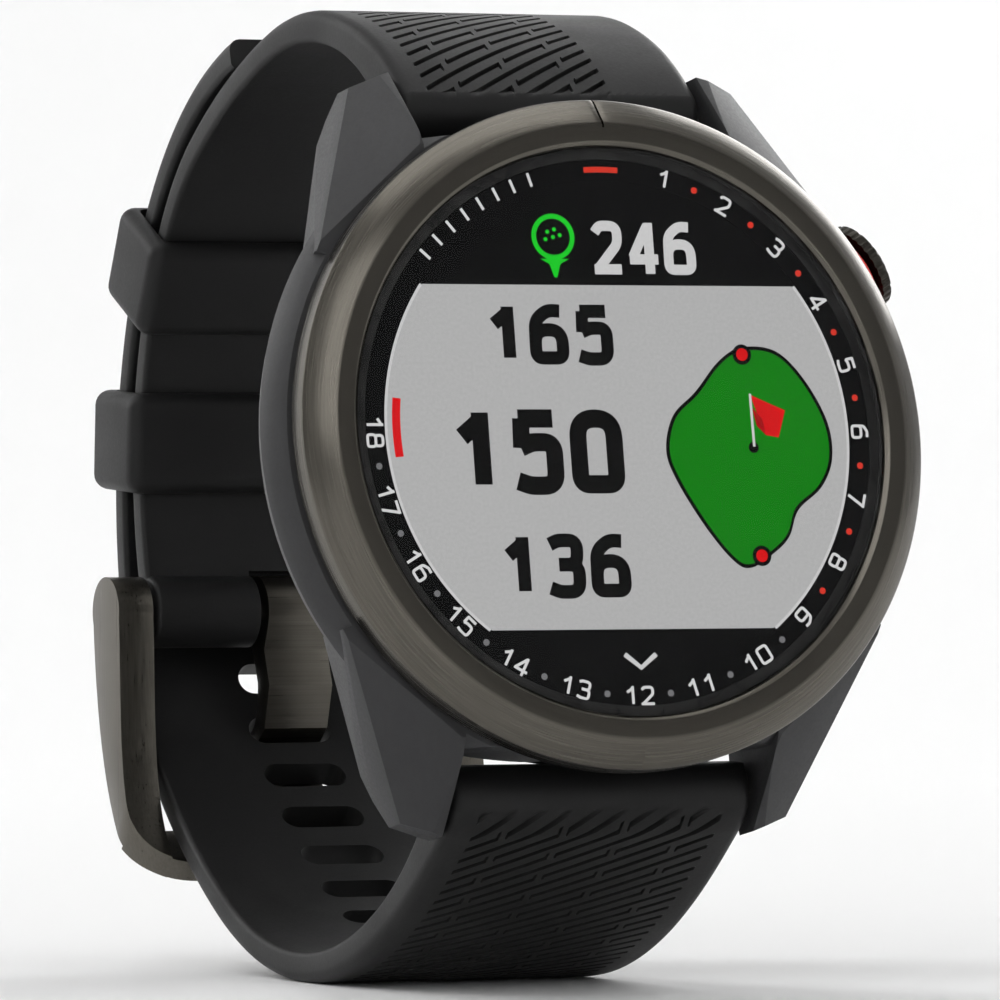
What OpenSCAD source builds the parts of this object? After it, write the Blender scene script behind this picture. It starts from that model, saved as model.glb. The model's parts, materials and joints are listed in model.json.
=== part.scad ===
// Golf GPS watch on a buckled silicone strap, standing on the lower half of its strap loop.
// Watch frame: origin at the centre of the dial, X towards 3 o'clock, Y into the case, Z towards 12.
// A "depth" below is a distance along Y, from the dial towards the wrist.

/* [Pose] */
// Angle that the case leans back from upright, in degrees
lean = 10; // [0:1:20]

/* [Case] */
// Largest radius of the polymer case
case_r = 21.2; // [21:0.1:22]
// Radius of the cavity that holds the electronics
cavity_r = 16.6; // [16.5:0.05:16.8]
// Depth of the outer face of the back cover
back_depth = 11; // [10.8:0.1:11.5]
// Outer radius of the metal bezel
bezel_r = 20.18; // [20:0.05:20.4]
// Radius of the cover glass
lens_r = 17.05; // [16.9:0.05:17.1]
// Radius of the visible display
display_r = 15.2; // [14.5:0.1:15.6]

/* [Lugs and strap] */
// Gap between the two lugs of one side
lug_gap = 20.4; // [20.2:0.1:21]
// Distance of each spring bar from the dial centre, along Z
pin_z = 20.6; // [20.4:0.1:21]
// Depth of the spring bars
pin_depth = 8; // [7.8:0.1:8.3]
// Width of the strap
strap_w = 19.6; // [18:0.1:19.8]
// Thickness of the strap between its ends
strap_t = 1.9; // [1.7:0.1:2.1]
// Diameter of the strap's rounded end at a spring bar
strap_end_d = 4.1; // [3.8:0.1:4.3]
// Spacing of the strap's slots along the strap
slot_pitch = 3.95; // [3.6:0.05:4.2]
// Length of a strap slot across the strap
slot_len = 5.6; // [5.2:0.1:6.5]

/* [Buckle] */
// Width of the tang
tang_w = 4.35; // [3.5:0.05:4.5]
// Outer width of the buckle frame
frame_w = 25; // [24.5:0.1:26]
// Inner width of both keepers
keeper_in_w = 19.9; // [19.85:0.05:20.1]
// Wall thickness of the keepers
keeper_wall = 1; // [0.8:0.1:1.2]
// Length of a keeper along the strap
keeper_len = 6.4; // [5:0.1:6.6]

/* [Button] */
// Direction of the button from 12 o'clock, in degrees
button_clock = 60; // [55:1:62]
// Depth of the button's axis
button_depth = 4.9; // [4.9:0.05:5]
// Radius of the button's cap
cap_r = 2.75; // [2.5:0.05:2.8]

/* [Hidden] */
$fn = 96;
pin_r = 0.75;
fit = 0.05;
step = 1.2;

// The loop's lowest line sits on the ground plane, and the loop's middle on the origin.
ground_lift = 33.83;
loop_middle = 26.87;

// Upper strap: start at its spring bar, then arcs of [length, turn in degrees].
upper_start = [pin_depth, pin_z, 63.6, 0];
upper_arcs = [[5.4, -25.6], [15.6, -44.6], [13.9, -18.5], [5.5, -17.5], [27, -58.1]];
// Lower strap, with its tail outside the upper strap.
lower_start = [pin_depth, -pin_z, -65, 0];
lower_arcs = [[1.4, 27], [15.2, 28], [21.8, 48], [14.6, 19], [5, 20], [28, 48.5], [20.9, 48]];

// Samples [y, z, heading, distance] along a chain of arcs.
function arc_run(p, seg, n) = let (r = seg[0] / (seg[1] * PI / 180))
    [for (i = [1:n]) let (a = p[2] + seg[1] * i / n)
        [p[0] + r * (sin(a) - sin(p[2])), p[1] - r * (cos(a) - cos(p[2])), a, p[3] + seg[0] * i / n]];
function route(p, segs, k = 0) = k == len(segs) ? [] :
    let (run = arc_run(p, segs[k], ceil(segs[k][0] / step)))
    concat(run, route(run[len(run) - 1], segs, k + 1));
function length_to(segs, k) = k == 0 ? 0 : segs[k - 1][0] + length_to(segs, k - 1);
// The sample at one distance s along a chain.
function station(p, segs, s, k = 0) =
    let (here = s - p[3], seg = segs[k])
    here <= seg[0] || k == len(segs) - 1
        ? arc_run(p, [here, seg[1] * here / seg[0]], 1)[0]
        : station(arc_run(p, seg, 1)[0], segs, s, k + 1);

upper_path = concat([upper_start], route(upper_start, upper_arcs));
lower_path = concat([lower_start], route(lower_start, lower_arcs));
lower_len = length_to(lower_arcs, len(lower_arcs));
bar = upper_path[len(upper_path) - 1];
tail = lower_path[len(lower_path) - 1];

// Strap thickness: thick at the spring bar, even in the middle, thin towards the tail.
tail_t = 1.3;
tail_taper = 30;
function end_swell(s) = (strap_end_d - strap_t) * exp(-s / 4.5);
function upper_t(s) = strap_t + end_swell(s);
function lower_t(s) = strap_t + end_swell(s)
    - (strap_t - tail_t) * min(1, max(0, (s - lower_len + tail_taper) / tail_taper));
function side_of(p, d) = [p[0] - d * sin(p[2]), p[1] + d * cos(p[2])];

// Slots: the first holds the tang, five run towards the lug and three along the tail.
tang_slot_s = 54.7;
slot_w = 2;
slots = [for (k = [-5:3]) tang_slot_s + k * slot_pitch];

// Buckle: hub round the bar, arms, and a far bar outside the strap.
hub_r = 2.25;
knuckle_r = 2.3;
arm_in = 10.15;
notch_half = 2.75;
far_bar_s = [45.2, 48.2];
far_bar_gap = 0.35;
far_bar_t = 1.5;
frame_corner_r = 4.2;
function bezier(a, b, c, d, n) = [for (i = [0:n]) let (t = i / n, u = 1 - t)
    u * u * u * a + 3 * u * u * t * b + 3 * u * t * t * c + t * t * t * d];

// Keepers: stations on the upper strap and the depth of both straps together.
fixed_keeper_s = 56.4;
free_keeper_s = 45.6;
stack_in = strap_t / 2 + 0.3;
fixed_stack = 5.15;
free_stack = 4.9;

// Depths of the layers under the glass, front and back.
glass = [-0.5, 0.3];
ring = [0.3, 0.45];
panel = [0.45, 1.55];
guide = [1.55, 2.05];
carrier = [2.05, 2.75];
cell = [2.85, 5.65];
board = [6.3, 7.1];
cover = [back_depth - 1.1, back_depth];
rim_depth = 2.3;
shoulder_depth = 2.85;

screw_at = 16.6;
screw_r = 0.6;
case_flat = 18.35;

// ---- Placing helpers ----

// Watch frame to the standing pose.
module stand() {
    translate([0, -loop_middle, ground_lift]) rotate([-lean, 0, 0]) children();
}

// A solid turned about the dial's axis, from an outline of [radius, depth].
module turned(outline) {
    rotate([-90, 0, 0]) rotate_extrude() polygon(outline);
}

// A disc or a ring between two depths.
module disc(r, depths) {
    rotate([-90, 0, 0]) translate([0, 0, depths[0]]) cylinder(r = r, h = depths[1] - depths[0]);
}
module ring_of(r_out, r_in, depths) {
    difference() {
        disc(r_out, depths);
        disc(r_in, [depths[0] - 1, depths[1] + 1]);
    }
}

// A side outline of [depth, height], made solid across X.
module across(w) {
    rotate([90, 0, 90]) linear_extrude(w, center = true) children();
}
module across_from(x, w) {
    translate([x, 0, 0]) rotate([90, 0, 90]) linear_extrude(w) children();
}

// A rod along X.
module rod(r, x0, x1) {
    translate([x0, 0, 0]) rotate([0, 90, 0]) cylinder(r = r, h = x1 - x0);
}

// A local frame on a strap: Y runs along it, Z away from its right-hand side.
module on_path(p) {
    translate([0, p[0], p[1]]) rotate([p[2], 0, 0]) children();
}

// The button's own axis, its Z pointing out of the case.
module at_button() {
    translate([0, button_depth, 0]) rotate([0, button_clock, 0]) children();
}
module tube(r_out, r_in, z0, z1) {
    difference() {
        translate([0, 0, z0]) cylinder(r = r_out, h = z1 - z0);
        translate([0, 0, z0 - 1]) cylinder(r = r_in, h = z1 - z0 + 2);
    }
}

// One turn-by-turn coil spring along Z.
function coil_ring(i, n, r, wire, h, turns, m) =
    let (a = 360 * turns * i / n, z = wire + (h - 2 * wire) * i / n)
    [for (j = [0:m - 1]) let (b = 360 * j / m, q = r + wire * cos(b))
        [q * cos(a), q * sin(a), z + wire * sin(b)]];
module coil(r, wire, h, turns) {
    per_turn = 14;
    m = 6;
    n = turns * per_turn;
    points = [for (i = [0:n]) each coil_ring(i, n, r, wire, h, turns, m)];
    sides = [for (i = [0:n - 1], j = [0:m - 1])
        [i * m + j, (i + 1) * m + j, (i + 1) * m + (j + 1) % m, i * m + (j + 1) % m]];
    first = [for (j = [0:m - 1]) j];
    last = [for (j = [m - 1:-1:0]) n * m + j];
    polyhedron(points, concat(sides, [first, last]));
}

// ---- Case ----

// Outline of the case wall, [radius, depth].
case_wall = [[cavity_r, rim_depth], [18.45, rim_depth], [18.45, shoulder_depth],
    [20.3, shoulder_depth], [case_r - 0.15, 4.1], [case_r, 4.8], [case_r - 0.5, 6.2],
    [case_r - 1.7, 8.4], [18.7, cover[0]], [cavity_r, cover[0]]];

// One lug: a plan outline and a side outline crossed, with two corners cut away.
lug_plan = [[lug_gap / 2, 13], [lug_gap / 2, 23.1], [12.66, 22.2], [17.6, 11.3], [14, 10]];
lug_side = [[shoulder_depth, 10], [shoulder_depth, 17.8], [3.44, 18.84], [5.17, 20.77], [7.4, 23.2],
    [9.2, 23.2], [9.9, 20.6], [9.9, 10]];
module lug() {
    difference() {
        intersection() {
            translate([0, 15, 0]) rotate([90, 0, 0]) linear_extrude(15) polygon(lug_plan);
            across_from(lug_gap / 2 - 1, 10) polygon(lug_side);
        }
        translate([11.7, 7.2, 22.3]) rotate([0, 57, -56]) translate([-20, -20, 0]) cube([40, 40, 20]);
        // The foot runs back into the case's side.
        translate([17.6, 3.2, 11.3]) rotate([0, 78.4, 15.6]) translate([-20, -20, 0]) cube([40, 40, 20]);
    }
}

module screw_places() {
    for (a = [45:90:315]) rotate([0, a, 0]) translate([screw_at, 0, 0]) children();
}

module case_body() color("#3a3b3d") stand() {
    difference() {
        union() {
            turned(case_wall);
            for (sx = [0, 1], sz = [0, 1]) mirror([sx, 0, 0]) mirror([0, 0, sz]) lug();
            intersection() {
                screw_places() disc(1.5, [7.3, cover[0]]);
                disc(18, [7, cover[0]]);
            }
        }
        // Room for the strap ends between the lugs.
        for (s = [-1, 1]) translate([-lug_gap / 2, shoulder_depth - 1, s > 0 ? case_flat : -case_flat - 10])
            cube([lug_gap, 12, 10]);
        for (s = [-1, 1]) translate([0, pin_depth, s * pin_z]) rod(0.55, -12, 12);
        screw_places() disc(screw_r, [7.6, cover[0] + 1]);
        at_button() {
            translate([0, 0, 19.65]) cylinder(r = cap_r + 0.2, h = 5);
            translate([0, 0, 15]) cylinder(r = 1.6, h = 6);
        }
        // Seat of the back gasket.
        ring_of(17.95, 17.3, [cover[0] - 0.3, cover[0] + 1]);
    }
}

module bezel() color("#5f5c55") stand() {
    difference() {
        turned([[17.15, -0.55], [17.35, -0.6], [18.46, -0.6], [bezel_r, 0.7], [bezel_r, 2.4],
            [bezel_r - 0.15, 2.55], [18.6, 2.55], [18.6, 1.4], [16.35, 1.4], [16.35, 0.75],
            [17.15, 0.75]]);
        // Index line across the chamfer at 12 o'clock.
        translate([0, -0.68, 18.4]) rotate([-37, 0, 0]) translate([-0.06, -0.3, 0]) cube([0.12, 0.4, 2.3]);
    }
}

module bezel_gasket() color("#101010") stand() ring_of(18.2, 17, [1.4, rim_depth]);
module lens() color([0.75, 0.8, 0.85, 0.35]) stand()
    turned([[0, glass[0]], [lens_r - 0.15, glass[0]], [lens_r, glass[0] + 0.15], [lens_r, glass[1]],
        [0, glass[1]]]);
module lens_gasket() color("#0c0c0c") stand() ring_of(17.1, 16.45, [glass[1], 0.75]);
module hole_ring() color("#141414") stand() ring_of(16.4, display_r, ring);

module display_panel() color("#b9b9b9") stand() difference() {
    disc(16.2, panel);
    // Ledge for the flat cable.
    translate([-5, panel[0] - 1, -17]) cube([10, 3, 1.4]);
}
module backlight_guide() color("#e8e8e0") stand() difference() {
    disc(16, guide);
    translate([-5, guide[0] - 1, -17]) cube([10, 3, 1.7]);
}

// Flat cable: folded from the display's edge down to the board.
module display_flex() color("#a8642a") stand()
    translate([0, 0, -15.75]) across(7) polygon([[0.9, 0.03], [0.9, -0.17], [6.2, -0.17], [6.2, 2.6],
        [6, 2.6], [6, 0.03]]);

module inner_frame() color("#2a2a2c") stand() {
    difference() {
        disc(16.45, carrier);
        // Window over the cell and the slot for the flat cable.
        translate([-8, 1, -8]) cube([14, 3, 16]);
        translate([-4.5, 1, -17]) cube([9, 3, 2]);
    }
    for (p = [[0, 13.9], [-14.2, 0], [7.5, -12.5]]) translate([p[0], 0, p[1]])
        disc(1, [carrier[0] + 0.1, board[0]]);
}

module battery() color("#7d8794") stand() {
    translate([-11, cell[0], -10.5]) cube([19, cell[1] - cell[0], 21]);
    // Folded lip of the pouch with its protection strip.
    translate([-9, cell[0] + 0.6, 10.5]) cube([15, 1, 1.2]);
}

module main_board() color("#1f6b3a") stand() {
    difference() {
        disc(15.6, board);
        translate([-4, board[0] - 1, -17]) cube([8, 3, 2.6]);
    }
    translate([-3, cell[1], -10.4]) cube([6, board[0] - cell[1], 1.6]);
}
module shield_can() color("#c5c8cb") stand() difference() {
    translate([-12, board[1], -6]) cube([14, 1.4, 13]);
    translate([-11.8, board[1] - 1, -5.8]) cube([13.6, 2.2, 12.6]);
}
module gps_antenna() color("#c9a35a") stand() intersection() {
    ring_of(16.3, 16, [3, 5.4]);
    translate([-13.5, 0, 6]) cube([22, 12, 12]);
}
module vibration_motor() color("#b4b7ba") stand() translate([7.8, 0, -6.6]) {
    disc(4, [board[1], board[1] + 2]);
    disc(1, [board[1] + 2, board[1] + 2.1]);
}

// ---- Back ----

module back_cover() color("#2c2d2f") stand() difference() {
    union() {
        turned([[0, cover[0]], [18.6, cover[0]], [18.6, cover[0] + 0.3], [17.9, cover[1]], [0, cover[1]]]);
        disc(14.9, [9.3, cover[0]]);
    }
    screw_places() {
        disc(0.7, [cover[0] - 1, cover[1] + 1]);
        disc(1.15, [cover[0] + 0.45, cover[1] + 1]);
    }
    translate([-4.9, 9, -12.2]) cube([9.8, 3, 3.4]);
}
module back_gasket() color("#0e0e0e") stand() ring_of(17.9, 17.35, [cover[0] - 0.3, cover[0]]);
module back_screws() color("#8c8c8a") stand() screw_places() {
    disc(screw_r, [7.8, cover[0] + 0.5]);
    difference() {
        disc(1.1, [cover[0] + 0.45, cover[1] - 0.1]);
        for (a = [0, 60, 120]) rotate([0, a, 0]) translate([-0.5, cover[1] - 0.5, -0.14]) cube([1, 1, 0.28]);
    }
}
contact_pitch = 2.1;
module contact_places() {
    for (k = [-1.5:1:1.5]) translate([k * contact_pitch, 0, -10.5]) children();
}
module contact_block() color("#151515") stand() difference() {
    translate([-4.8, 9, -12.1]) cube([9.6, cover[1] - 9.15, 3.2]);
    contact_places() disc(0.7, [8, 12]);
}
module charge_contacts() color("#d8b45a") stand() contact_places() {
    disc(0.65, [9.2, cover[1] - 0.25]);
    disc(0.35, [board[1], 9.2]);
}

// ---- Button ----

stem_r = 0.8;
cap_z = [21.5, 22.3];
flange_z = [20.25, 21.15];
module button_bushing() color("#d8322c") stand() at_button() difference() {
    union() {
        translate([0, 0, 16.75]) cylinder(r = 1.6, h = 3);
        translate([0, 0, 19.65]) cylinder(r = 2.2, h = flange_z[0] - 19.65);
        translate([0, 0, flange_z[0]]) cylinder(r = 2.55, h = flange_z[1] - flange_z[0]);
    }
    translate([0, 0, 16]) cylinder(r = stem_r + fit, h = 6);
    translate([0, 0, 18.9]) cylinder(r = 1.4, h = 3);
}
module button_cap() color("#3c3b39") stand() at_button() difference() {
    union() {
        translate([0, 0, cap_z[0]]) cylinder(r = cap_r, h = 0.6);
        rotate_extrude() polygon([[0, cap_z[0] + 0.5], [cap_r, cap_z[0] + 0.5], [cap_r - 0.35, cap_z[1]],
            [0, cap_z[1]]]);
    }
    translate([0, 0, cap_z[0] - 1]) cylinder(r = stem_r, h = 1.5);
    // Fine flutes round the edge.
    for (a = [0:12:348]) rotate([0, 0, a]) translate([cap_r + 0.12, 0, cap_z[0] - 0.1])
        cylinder(r = 0.2, h = 0.7, $fn = 16);
}
module button_stem() color("#a9a9a6") stand() at_button() difference() {
    translate([0, 0, 15.6]) cylinder(r = stem_r, h = cap_z[0] + 0.5 - 15.6);
    tube(2, 0.5, 16.15, 16.45);
    tube(2, 0.55, 17.7, 18.15);
}
module button_oring() color("#151515") stand() at_button()
    translate([0, 0, 17.925]) rotate_extrude() translate([0.7, 0]) circle(r = 0.14, $fn = 24);
module button_clip() color("#b8b8b4") stand() at_button() difference() {
    tube(1.35, 0.5, 16.2, 16.4);
    translate([0, -0.45, 16]) cube([2, 0.9, 1]);
}
module button_spring() color("#c4c4c0") stand() at_button()
    translate([0, 0, 18.9]) coil(1.1, 0.12, cap_z[0] - 18.9, 4);
module tact_switch() color("#2b2b2b") stand() at_button() difference() {
    translate([-1.9, -1.35, 12.7]) cube([3.8, 2.7, 2.2]);
    translate([0, 0, 14.2]) cylinder(r = 0.75, h = 2);
}
module switch_plunger() color("#d9d4c7") stand() at_button()
    translate([0, 0, 14.7]) cylinder(r = 0.7, h = 0.85);

// ---- Quick-release spring bars, side 1 above and -1 below ----

tip_r = 0.45;
tip_end = 11.4;
tube_half = 9.5;
lever_x = 7.2;
release = 1.5;
module at_pin(side) {
    translate([0, pin_depth, side * pin_z]) children();
}
module bar_tube(side) color("#9c9c98") stand() at_pin(side) difference() {
    rod(pin_r, -tube_half, tube_half);
    rod(0.6, -tube_half - 1, tube_half + 1);
    translate([lever_x - release - 0.45, 0, -0.4]) cube([release + 0.9, 2, 0.8]);
}
module bar_fixed_tip(side) color("#b5b5b1") stand() at_pin(side) {
    rod(tip_r, -tip_end, -tube_half);
    rod(0.6, -tube_half, -0.2);
}
module bar_lever(side) color("#b5b5b1") stand() at_pin(side) {
    rod(tip_r, tube_half - 2, tip_end);
    rod(0.58, 5.4, 8);
    translate([lever_x, 0, 0]) rotate([-90, 0, 0]) cylinder(r = 0.32, h = 2.7);
    translate([lever_x, 2.9, 0]) sphere(r = 0.5);
}
module bar_spring(side) color("#c4c4c0") stand() at_pin(side)
    translate([-0.2, 0, 0]) rotate([0, 90, 0]) coil(0.43, 0.09, 5.6, 9);

module upper_bar_tube() bar_tube(1);
module upper_bar_fixed_tip() bar_fixed_tip(1);
module upper_bar_lever() bar_lever(1);
module upper_bar_spring() bar_spring(1);
module lower_bar_tube() bar_tube(-1);
module lower_bar_fixed_tip() bar_fixed_tip(-1);
module lower_bar_lever() bar_lever(-1);
module lower_bar_spring() bar_spring(-1);

// ---- Strap ----

// Side outline of a strap half, and the round end at its spring bar.
module strap_side(path, thick) {
    left = [for (p = path) side_of(p, thick(p[3]) / 2)];
    right = [for (i = [len(path) - 1:-1:0]) side_of(path[i], -thick(path[i][3]) / 2)];
    polygon(concat(left, right));
}
module strap_end(side) {
    at_pin(side) rod(strap_end_d / 2, -strap_w / 2, strap_w / 2);
}
// Bore for the spring bar and the window for its release lever.
module strap_end_cuts(side) {
    at_pin(side) {
        rod(pin_r + 0.03, -strap_w, strap_w);
        translate([lever_x - release - 0.7, 0, -0.85]) cube([release + 1.4, 5, 1.7]);
    }
}

module strap_upper() color("#242426") stand() difference() {
    union() {
        across(strap_w) strap_side(upper_path, function(s) upper_t(s));
        strap_end(1);
        translate([0, bar[0], bar[1]]) rod(knuckle_r, -strap_w / 2, strap_w / 2);
    }
    strap_end_cuts(1);
    translate([0, bar[0], bar[1]]) {
        rod(pin_r, -strap_w, strap_w);
        rod(hub_r + 0.35, -notch_half, notch_half);
    }
}

// A slot through the strap, its long way across it.
module slot() {
    for (s = [-1, 1]) translate([s * (slot_len - slot_w) / 2, 0, -3]) cylinder(d = slot_w, h = 6);
    translate([-(slot_len - slot_w) / 2, -slot_w / 2, -3]) cube([slot_len - slot_w, slot_w, 6]);
}
module strap_lower() color("#242426") stand() difference() {
    union() {
        across(strap_w) strap_side(lower_path, function(s) lower_t(s));
        strap_end(-1);
    }
    strap_end_cuts(-1);
    for (s = slots) on_path(station(lower_start, lower_arcs, s)) slot();
    // Rounded corners at the tail's end.
    on_path(tail) for (m = [0, 1]) mirror([m, 0, 0]) difference() {
        translate([strap_w / 2 - 5, -5, -3]) cube([6, 6, 6]);
        translate([strap_w / 2 - 5, -5, -4]) cylinder(r = 5, h = 8);
    }
}

// A keeper: a band round both straps, from the wrist side of the upper strap outwards.
module keeper(s, stack) {
    outer_w = keeper_in_w + 2 * keeper_wall;
    on_path(station(upper_start, upper_arcs, s)) difference() {
        translate([-outer_w / 2, -keeper_len / 2, -stack_in - keeper_wall])
            cube([outer_w, keeper_len, stack + 2 * keeper_wall]);
        translate([-keeper_in_w / 2, -keeper_len, -stack_in]) cube([keeper_in_w, 2 * keeper_len, stack]);
    }
}
module keeper_fixed() color("#2b2b2d") stand() {
    keeper(fixed_keeper_s, fixed_stack);
    // The bond pad that holds it to the upper strap.
    on_path(station(upper_start, upper_arcs, fixed_keeper_s))
        translate([-8, -2, -stack_in]) cube([16, 4, stack_in - strap_t / 2 + 0.05]);
}
module keeper_sliding() color("#2b2b2d") stand() keeper(free_keeper_s, free_stack);

// ---- Buckle ----

module buckle_bar() color("#8f8d87") stand() translate([0, bar[0], bar[1]]) {
    rod(pin_r, -frame_w / 2 + 0.5, frame_w / 2 - 0.5);
}

// Arms: between a back edge and a front edge, each one smooth curve from the hub to the far bar.
arm_back = bezier([54.2, -2.6], [54.8, -9], [54.4, -15.5], [50.2, -20.1], 14);
arm_front = bezier([49.1, -18.9], [52.4, -14.5], [50.2, -8], [49.85, -2.6], 14);
module far_bar() {
    n = 4;
    span = [for (i = [0:n]) station(lower_start, lower_arcs, far_bar_s[0]
        + (far_bar_s[1] - far_bar_s[0]) * i / n)];
    near = [for (p = span) side_of(p, -strap_t / 2 - far_bar_gap)];
    far = [for (i = [n:-1:0]) side_of(span[i], -strap_t / 2 - far_bar_gap - far_bar_t)];
    polygon(concat(near, far));
}
module buckle_frame() color("#5f5c55") stand() difference() {
    union() {
        for (m = [0, 1]) mirror([m, 0, 0]) {
            across_from(arm_in, frame_w / 2 - arm_in) polygon(concat(arm_back, arm_front));
            translate([0, bar[0], bar[1]]) rod(hub_r, arm_in, frame_w / 2);
        }
        across(frame_w) far_bar();
    }
    translate([0, bar[0], bar[1]]) rod(pin_r + fit, -frame_w / 2 + 0.45, frame_w / 2 - 0.45);
    // Rounded outer corners.
    on_path(station(lower_start, lower_arcs, far_bar_s[0])) for (m = [0, 1]) mirror([m, 0, 0])
        translate([frame_w / 2 - frame_corner_r, frame_corner_r, -8]) difference() {
            translate([0, -2 * frame_corner_r, 0]) cube([2 * frame_corner_r, 2 * frame_corner_r, 16]);
            translate([0, 0, -1]) cylinder(r = frame_corner_r, h = 18);
        }
    // Nest for the tang's tip.
    on_path(station(lower_start, lower_arcs, far_bar_s[1]))
        translate([-notch_half, -2.1, -6]) cube([2 * notch_half, 6, 6]);
}

// Tang: hub, a waisted blade, the neck through the slot and the tip on the far bar.
tang_front = [[50.1, -3.7], [51.05, -5.15], [50.6, -7.5], [51.9, -10.1], [52.5, -10.45],
    [54.2, -11.35], [54.25, -11.8], [53.35, -13.5], [52.15, -15.3], [50.35, -17.5]];
tang_back = [[51.2, -18.15], [53, -15.95], [54.35, -14.05], [55.3, -12], [55.3, -10.9],
    [55.05, -10.55], [53.5, -9.65], [52.75, -8.6], [52.5, -7.05], [53, -4.85], [54.1, -3.3]];
module buckle_tang() color("#6c6962") stand() difference() {
    union() {
        across(tang_w) polygon(concat(tang_front, tang_back, [[bar[0], bar[1]]]));
        translate([0, bar[0], bar[1]]) rod(hub_r, -tang_w / 2, tang_w / 2);
    }
    translate([0, bar[0], bar[1]]) rod(pin_r + fit, -tang_w, tang_w);
}

case_body();
bezel();
bezel_gasket();
lens();
lens_gasket();
hole_ring();
display_panel();
backlight_guide();
display_flex();
inner_frame();
battery();
main_board();
shield_can();
gps_antenna();
vibration_motor();
tact_switch();
switch_plunger();
back_cover();
back_gasket();
back_screws();
contact_block();
charge_contacts();
button_bushing();
button_cap();
button_stem();
button_oring();
button_clip();
button_spring();
upper_bar_tube();
upper_bar_fixed_tip();
upper_bar_lever();
upper_bar_spring();
lower_bar_tube();
lower_bar_fixed_tip();
lower_bar_lever();
lower_bar_spring();
strap_upper();
strap_lower();
keeper_fixed();
keeper_sliding();
buckle_bar();
buckle_frame();
buckle_tang();
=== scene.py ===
import json
from math import acos, atan2, ceil, cos, exp, hypot, pi, radians, sin, tan

import bpy
from mathutils import Matrix, Vector


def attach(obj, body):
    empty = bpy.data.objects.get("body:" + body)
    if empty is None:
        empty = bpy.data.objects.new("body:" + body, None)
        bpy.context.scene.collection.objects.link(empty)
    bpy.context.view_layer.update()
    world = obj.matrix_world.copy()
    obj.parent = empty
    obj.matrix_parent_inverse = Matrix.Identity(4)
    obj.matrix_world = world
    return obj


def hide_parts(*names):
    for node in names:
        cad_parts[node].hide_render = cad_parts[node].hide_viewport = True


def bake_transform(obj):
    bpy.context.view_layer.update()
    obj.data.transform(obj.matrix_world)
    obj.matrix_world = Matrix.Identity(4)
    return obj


bl_info = {
    "name": "Golf GPS watch",
    "version": (1, 0, 0),
    "blender": (4, 5, 0),
    "location": "View3D > Sidebar > Golf Watch",
    "description": "Builds the finished surfaces of a golf watch round its packed model",
    "category": "Add Mesh",
}

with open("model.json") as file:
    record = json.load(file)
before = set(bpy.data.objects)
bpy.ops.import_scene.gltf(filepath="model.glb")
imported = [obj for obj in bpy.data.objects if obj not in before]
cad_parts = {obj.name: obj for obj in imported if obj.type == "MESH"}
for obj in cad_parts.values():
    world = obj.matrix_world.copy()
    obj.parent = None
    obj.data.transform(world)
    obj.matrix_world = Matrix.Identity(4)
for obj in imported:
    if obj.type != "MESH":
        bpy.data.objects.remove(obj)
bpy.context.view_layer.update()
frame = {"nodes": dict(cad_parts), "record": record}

MM = 0.001

# The watch frame: origin at the middle of the dial, X to 3 o'clock, Y into the case, Z to 12.
MOUNTS = {mount["name"]: mount for mount in frame["record"]["mounts"]}
GLASS = MOUNTS["glass_face"]
LEAN = atan2(GLASS["axis"][2], -GLASS["axis"][1])
GLASS_DEPTH = -0.5
DIAL = Vector(GLASS["pos_m"]) + Vector(GLASS["axis"]) * GLASS_DEPTH * MM
WATCH = Matrix.Translation(DIAL) @ Matrix.Rotation(-LEAN, 4, "X") @ Matrix.Scale(MM, 4)

# Strap: spring bars, and arcs of [length, turn in degrees] from each bar, as the design has them.
PIN_DEPTH = 8
PIN_Z = 20.6
UPPER_START = (PIN_DEPTH, PIN_Z, 63.6)
UPPER_ARCS = ((5.4, -25.6), (15.6, -44.6), (13.9, -18.5), (5.5, -17.5), (27, -58.1))
LOWER_START = (PIN_DEPTH, -PIN_Z, -65)
LOWER_ARCS = ((1.4, 27), (15.2, 28), (21.8, 48), (14.6, 19), (5, 20), (28, 48.5), (20.9, 48))
STRAP_W = 19.6
STRAP_T = 1.9
END_D = 4.1
UPPER_FIELD_END = 4.0
LOWER_FIELD_END = 7.9
# The strap turns about the buckle's bar; a notch leaves room for the tang's hub.
KNUCKLE_R = 2.3
HUB_R = 2.25
NOTCH_HALF = 2.75
BAR_BORE_R = 0.76
# Slots: five towards the lug from the one that holds the tang, and three along the tail.
TANG_SLOT = 54.7
SLOT_PITCH = 3.95
SLOT_LEN = 5.6
SLOT_W = 2
SLOTS = range(-5, 4)
# Watch-frame places between which the lower strap passes from the case to the far side.
LOWER_BENDS_BETWEEN = ((0, 20, -34), (0, 48, -14))
# Keepers: opening, wall and length; (node, body, distance along the strap, depth of the opening).
KEEPER_W = 19.9
KEEPER_WALL = 1
KEEPER_LEN = 6.4
KEEPER_INNER = STRAP_T / 2 + 0.3
KEEPERS = (("keeper_fixed", "buckle_strap", 56.4, 5.15), ("keeper_sliding", "keeper", 45.6, 4.9))


# ---- Modelling helpers ----

def fresh():
    """Leaves edit mode and selects nothing."""
    if bpy.context.object and bpy.context.object.mode != "OBJECT":
        bpy.ops.object.mode_set(mode="OBJECT")
    bpy.ops.object.select_all(action="DESELECT")


def only(*pieces):
    """Selects these pieces, the first of them active."""
    fresh()
    for piece in pieces:
        piece.select_set(True)
    bpy.context.view_layer.objects.active = pieces[0]
    return pieces[0]


def named(name):
    """Names the active object and its mesh."""
    fresh()
    piece = bpy.context.view_layer.objects.active
    piece.name = piece.data.name = name
    return piece


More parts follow.
